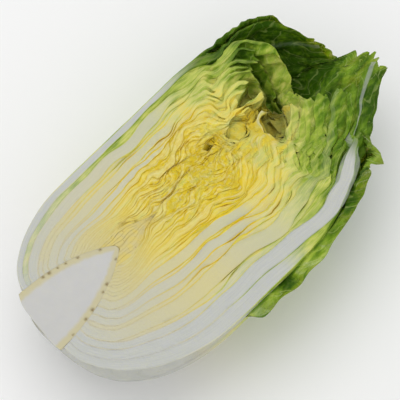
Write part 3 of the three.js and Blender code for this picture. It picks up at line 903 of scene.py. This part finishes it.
def new_material(name):
    material = bpy.data.materials.new(name)
    material.use_nodes = True
    nodes = material.node_tree.nodes
    shader = nodes["Principled BSDF"]
    return material, nodes, material.node_tree.links, shader


def attribute(nodes, name):
    node = nodes.new("ShaderNodeAttribute")
    node.attribute_name = name
    return node.outputs["Fac"]


def node_for(kind, *values):
    """A new node in the tree that the values come from. At least one of them is another node's output."""
    tree = next(value.id_data for value in values if isinstance(value, bpy.types.NodeSocket))
    return tree.nodes.new(kind)


def feed(sockets, values):
    """Sets each socket to its number or colour, or joins it to another node's output."""
    for socket, value in zip(sockets, values):
        if isinstance(value, bpy.types.NodeSocket):
            socket.id_data.links.new(value, socket)
        else:
            socket.default_value = value


def math_node(operation, *values):
    node = node_for("ShaderNodeMath", *values)
    node.operation = operation
    feed(node.inputs, values)
    return node.outputs[0]


def mix_colours(factor, first, second):
    node = node_for("ShaderNodeMix", factor, first, second)
    node.data_type = "RGBA"
    feed((node.inputs[0], node.inputs[6], node.inputs[7]), (factor, first, second))
    return node.outputs[2]


def colour_ramp(factor, stops):
    node = node_for("ShaderNodeValToRGB", factor)
    feed(node.inputs, [factor])
    elements = node.color_ramp.elements
    while len(elements) < len(stops):
        elements.new(1.0)
    for element, (place, colour) in zip(elements, stops):
        element.position = place
        element.color = colour
    return node.outputs[0]


def smooth_node(low, high, value):
    """0 where value is below low, 1 above high, and smooth between."""
    node = node_for("ShaderNodeMapRange", value)
    node.interpolation_type = "SMOOTHSTEP"
    feed((node.inputs[name] for name in ("Value", "From Min", "From Max")), (value, low, high))
    return node.outputs["Result"]


def noise(vector, scale, detail=2.0):
    node = node_for("ShaderNodeTexNoise", vector)
    feed((node.inputs[name] for name in ("Vector", "Scale", "Detail")), (vector, scale, detail))
    return node.outputs["Fac"]


def vector_scale(vector, scale):
    node = node_for("ShaderNodeVectorMath", vector)
    node.operation = "MULTIPLY"
    feed(node.inputs, (vector, scale))
    return node.outputs[0]


def product(first, second):
    return math_node("MULTIPLY", first, second)


def rest_of(share):
    """1 less the share."""
    return math_node("SUBTRACT", 1.0, share)


# The blade's colours by tone, from the heart's deep yellow to the outer leaves' dark green.
BLADE_COLOURS = [
    (0.0, srgb(232, 202, 42)),
    (0.14, srgb(230, 212, 84)),
    (0.34, srgb(206, 208, 106)),
    (0.55, srgb(158, 180, 62)),
    (0.75, srgb(102, 138, 26)),
    (1.0, srgb(50, 86, 4)),
]
VEINS = srgb(190, 206, 120)
FIBRES = srgb(234, 222, 150)
# Flesh: the outer leaves' white, two greys for its fibres; the inner leaves', above and near the stem; and
# that of their upper parts.
WHITE_FLESH = (srgb(180, 184, 180), srgb(208, 208, 200))
CREAM_FLESH = (srgb(214, 204, 146), srgb(204, 199, 166))
TINGED_FLESH = srgb(198, 199, 158)
# Where yellow leaves and where green ones gape apart at the cut: their skin's colour, darkened as painted
# shade.
GAPE_SKIN_AND_SHADE = (srgb(202, 158, 50), srgb(134, 148, 54))
PALE_CRUMBS = srgb(238, 226, 140)
GOLDEN_CRUMBS = srgb(206, 166, 28)
# Painted shade deep in the hollows, and their rim's pale edge brightened as a painted highlight.
HOLLOW_SHADE = srgb(112, 104, 28)
HOLLOW_RIM = srgb(228, 224, 176)


# What each leaf's mesh says of itself at every point.
LEAF_ATTRIBUTES = (
    "tone", "through", "thick", "fleshy", "ribbed", "young",
    "cream", "tinged", "gape", "heart", "painted_hollow_shade", "rim",
)


def parts(vector):
    """The vector's x, y and z."""
    node = node_for("ShaderNodeSeparateXYZ", vector)
    feed(node.inputs, [vector])
    return node.outputs


def vein_lines(grown):
    """Pale side veins that leave the midrib slanting upwards, and the net of fine veins between them."""
    aside, along, _ = parts(grown)
    bend = product(noise(grown, 9), 0.22)
    side = product(math_node("ABSOLUTE", aside), 1.3)
    climb = math_node("SUBTRACT", math_node("ADD", along, bend), side)
    beat = math_node("PINGPONG", product(climb, 11), 1.0)
    side_veins = rest_of(smooth_node(0.02, 0.16, beat))
    cells = node_for("ShaderNodeTexVoronoi", grown)
    cells.feature = "DISTANCE_TO_EDGE"
    feed((cells.inputs["Vector"], cells.inputs["Scale"]), (grown, 16))
    net = rest_of(smooth_node(0.01, 0.09, cells.outputs["Distance"]))
    return math_node("MAXIMUM", side_veins, product(net, 0.2))


def fibre_streaks(grown, across):
    """Long faint streaks along the leaf, which differ from one place in its thickness to the next."""
    _, along, step = parts(grown)
    fibre = node_for("ShaderNodeCombineXYZ", grown)
    feed(fibre.inputs, (across, product(along, 6), step))
    return noise(fibre.outputs[0], 0.9, 3)


def blade_colour(place, tone, veins):
    """The blade's mottled colour with its pale veins."""
    drawn_out = vector_scale(place, (1, 0.3, 1))
    spread = math_node("SUBTRACT", noise(drawn_out, 260, 4), 0.5)
    uneven = math_node("ADD", tone, product(spread, 0.9))
    blade = colour_ramp(uneven, BLADE_COLOURS)
    return mix_colours(product(veins, 0.26), blade, VEINS)


def flesh_colour(streak, young, cream, tinged):
    """White, cream or tinged flesh."""
    white = mix_colours(streak, *WHITE_FLESH)
    inner = mix_colours(young, *CREAM_FLESH)
    flesh = mix_colours(cream, white, inner)
    return mix_colours(tinged, flesh, TINGED_FLESH)


def crumbled(surface, crumbs, heart):
    """The heart's finely crumpled blades: pale and golden crumbs."""
    pale = product(smooth_node(0.5, 0.62, crumbs), 0.5)
    golden = product(rest_of(smooth_node(0.3, 0.42, crumbs)), 0.45)
    surface = mix_colours(product(pale, heart), surface, PALE_CRUMBS)
    return mix_colours(product(golden, heart), surface, GOLDEN_CRUMBS)


def set_soft_skin(shader, radius):
    """Light goes a little way into the tissue."""
    shader.inputs["Roughness"].default_value = 0.5
    shader.inputs["Subsurface Weight"].default_value = 0.25
    shader.inputs["Subsurface Radius"].default_value = radius
    shader.inputs["Subsurface Scale"].default_value = 0.003


def leaf_material():
    material, nodes, links, shader = new_material("leaf_tissue")
    place = nodes.new("ShaderNodeTexCoord").outputs["Object"]
    grown_node = nodes.new("ShaderNodeAttribute")
    grown_node.attribute_name = "grown"
    grown = grown_node.outputs["Vector"]
    tone, through, thick, fleshy, ribbed, young, cream, tinged, gape, heart, painted_hollow_shade, rim = (
        attribute(nodes, name) for name in LEAF_ATTRIBUTES
    )
    # How far under the leaf's skin the cut shows it, in millimetres.
    from_skin = rest_of(math_node("ABSOLUTE", through))
    depth = product(product(from_skin, thick), 0.5)
    skin = rest_of(smooth_node(0.02, 0.1, depth))
    veins = product(vein_lines(grown), skin)
    blade = blade_colour(place, tone, veins)
    # Fibres show on the cut, more on yellow blades than on green ones.
    streak = fibre_streaks(grown, product(through, thick))
    pale_streak = math_node("MULTIPLY_ADD", smooth_node(0.48, 0.62, streak), 0.5, 0.15)
    yellower = math_node("SUBTRACT", 1.1, tone)
    within = product(smooth_node(0.1, 0.7, depth), yellower)
    blade = mix_colours(product(pale_streak, within), blade, FIBRES)
    flesh = flesh_colour(streak, young, cream, tinged)
    fleshy = product(smooth_node(0.15, 0.9, depth), fleshy)
    fleshy = math_node("MAXIMUM", product(ribbed, 0.8), fleshy)
    fleshy = math_node("MAXIMUM", product(young, 0.84), fleshy)
    surface = mix_colours(fleshy, blade, flesh)
    gape_skin_and_shade = mix_colours(smooth_node(0.1, 0.5, tone), *GAPE_SKIN_AND_SHADE)
    # Painted shade, over the skin's colour, where neighbouring leaves gape apart at the cut.
    surface = mix_colours(product(gape, 0.7), surface, gape_skin_and_shade)
    crumbs = noise(vector_scale(place, (1, 0.7, 1)), 460, 4)
    surface = crumbled(surface, crumbs, heart)
    # Painted shade in the hollows, and a painted highlight on their rim.
    surface = mix_colours(product(painted_hollow_shade, 0.7), surface, HOLLOW_SHADE)
    surface = mix_colours(product(rim, 0.8), surface, HOLLOW_RIM)
    links.new(surface, shader.inputs["Base Color"])
    shader.inputs["Specular IOR Level"].default_value = 0.1
    set_soft_skin(shader, (1.0, 1.0, 0.4))
    bump = nodes.new("ShaderNodeBump")
    bump.inputs["Strength"].default_value = 0.45
    bump.inputs["Distance"].default_value = 0.0008
    grain = math_node("ADD", noise(place, 420, 3), veins)
    raised = math_node("MULTIPLY_ADD", product(crumbs, heart), 1.6, grain)
    links.new(raised, bump.inputs["Height"])
    links.new(bump.outputs[0], shader.inputs["Normal"])
    return material


STEM_FLESH = (srgb(191, 191, 190), srgb(201, 200, 194))
STEM_BAND = srgb(198, 186, 122)
STEM_DOTS = srgb(120, 96, 40)
STEM_SKIN = srgb(196, 186, 160)
BUD_TISSUE = (srgb(214, 194, 98), srgb(204, 190, 128))
BUD_SPECKS = srgb(160, 128, 62)


def core_material():
    """The stem's white flesh with a yellowish band along its edges, dark dots, and its skin."""
    material, nodes, links, shader = new_material("stem_flesh")
    place = nodes.new("ShaderNodeTexCoord").outputs["Object"]
    from_edge = attribute(nodes, "from_edge")
    wavy = math_node("MULTIPLY_ADD", noise(place, 260), 2.4, from_edge)
    band = product(rest_of(smooth_node(4.2, 7.5, wavy)), 0.65)
    flesh = mix_colours(noise(place, 90), *STEM_FLESH)
    banded = mix_colours(band, flesh, STEM_BAND)
    dotted = mix_colours(attribute(nodes, "spots"), banded, STEM_DOTS)
    below_cut = smooth_node(0.02, 0.2, attribute(nodes, "down"))
    surface = mix_colours(below_cut, dotted, STEM_SKIN)
    links.new(surface, shader.inputs["Base Color"])
    set_soft_skin(shader, (1.0, 1.0, 0.6))
    return material


def bud_material():
    material, nodes, links, shader = new_material("bud_tissue")
    place = nodes.new("ShaderNodeTexCoord").outputs["Object"]
    mottle = smooth_node(0.3, 0.7, noise(place, 200, 4))
    tissue = mix_colours(mottle, *BUD_TISSUE)
    specks = product(smooth_node(0.62, 0.74, noise(place, 420, 2)), 0.5)
    surface = mix_colours(specks, tissue, BUD_SPECKS)
    links.new(surface, shader.inputs["Base Color"])
    shader.inputs["Roughness"].default_value = 0.5
    return material


LEAF_MATERIAL = leaf_material()

# ---- Assembly ------------------------------------------------------------------------------------------

def add_piece(piece, node, material):
    piece.data.materials.append(material)
    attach(piece, "root")
    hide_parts(node)


bpy.ops.object.select_all(action="DESELECT")
add_piece(build_core(), "core", core_material())
add_piece(build_bud(), "heart_bud", bud_material())
for leaf in LEAVES:
    add_piece(build_leaf(leaf), leaf.name, LEAF_MATERIAL)

# ---- Studio --------------------------------------------------------------------------------------------


def add_floor():
    bpy.ops.mesh.primitive_plane_add(size=6)
    floor = bpy.context.object
    floor.name = "floor"
    material, _, _, shader = new_material("pale_floor")
    shader.inputs["Base Color"].default_value = (0.93, 0.93, 0.93, 1)
    shader.inputs["Roughness"].default_value = 0.9
    floor.data.materials.append(material)


def add_lamp(name, place, size, power, aim=(0, 0, 0)):
    lamp = bpy.data.lights.new(name, "AREA")
    lamp.shape = "SQUARE"
    lamp.size = size
    lamp.energy = power
    holder = bpy.data.objects.new(name, lamp)
    bpy.context.collection.objects.link(holder)
    holder.location = place
    holder.rotation_euler = (Vector(aim) - Vector(place)).to_track_quat("-Z", "Y").to_euler()


def add_world():
    world = bpy.data.worlds.new("soft_studio")
    bpy.context.scene.world = world
    world.use_nodes = True
    background = world.node_tree.nodes["Background"]
    background.inputs["Color"].default_value = (1, 1, 1, 1)
    background.inputs["Strength"].default_value = 0.74


LENS = 400
# How wide the frame is where the camera aims, in metres, and that place, in the head's millimetres.
FRAME_WIDTH = 0.280
AIM = (16.7, 140.7, 0.0)
AZIMUTH = math.radians(45)
ELEVATION = math.radians(75)


def add_camera():
    camera = bpy.data.cameras.new("camera")
    camera.lens = LENS
    camera.sensor_width = 36
    camera.clip_start = 0.01
    holder = bpy.data.objects.new("camera", camera)
    bpy.context.collection.objects.link(holder)
    distance = FRAME_WIDTH * LENS / camera.sensor_width
    aim = Vector(to_frame(np.array(AIM)))
    back = Vector((
        math.sin(AZIMUTH) * math.cos(ELEVATION),
        -math.cos(AZIMUTH) * math.cos(ELEVATION),
        math.sin(ELEVATION),
    ))
    holder.location = aim + back * distance
    holder.rotation_euler = (-back).to_track_quat("-Z", "Y").to_euler()
    bpy.context.scene.camera = holder


add_floor()
add_world()
add_lamp("key", (-1.2, 0.5, 3.0), 2.6, 35)
add_camera()
bpy.context.scene.view_settings.view_transform = "Standard"
